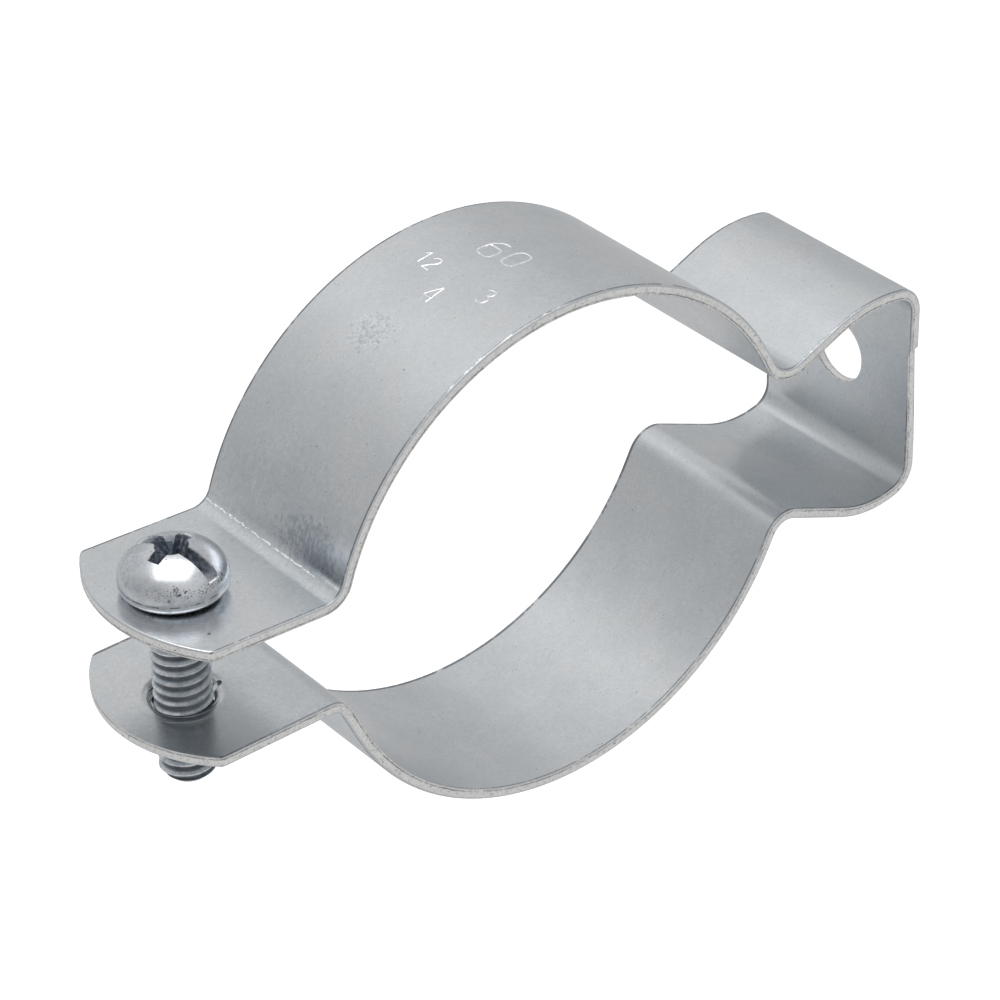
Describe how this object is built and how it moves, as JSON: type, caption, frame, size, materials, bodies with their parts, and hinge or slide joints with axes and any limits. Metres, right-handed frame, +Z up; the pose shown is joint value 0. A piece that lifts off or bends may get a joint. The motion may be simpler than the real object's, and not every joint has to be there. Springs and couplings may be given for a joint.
{
  "type": "conduit hanger",
  "caption": "Folded steel strap hanger with a round clamp ring, a box-shaped back with a bolt hole, and a clamping screw through its ears.",
  "frame": {"origin": "the middle of the ring, midway between the centres of its upper and lower arcs and halfway along the conduit", "axes": "+Z up the clamping screw towards its head, +X from the screw towards the flat back, +Y along the conduit"},
  "size_m": [0.101, 0.0234, 0.0598],
  "materials": {
    "strap_zinc": "satin zinc plate",
    "screw_zinc": "bright zinc plate"
  },
  "bodies": {
    "hanger": {"strap": "strap_zinc"},
    "clamp_screw": {"screw": "screw_zinc"}
  },
  "joints": [
    {"name": "screw_turn", "type": "hinge", "parent": "hanger", "child": "clamp_screw", "pos_m": [-0.04229, 0, 0], "axis": [0, 0, 1], "range_deg": [-3315, 2490]}
  ]
}
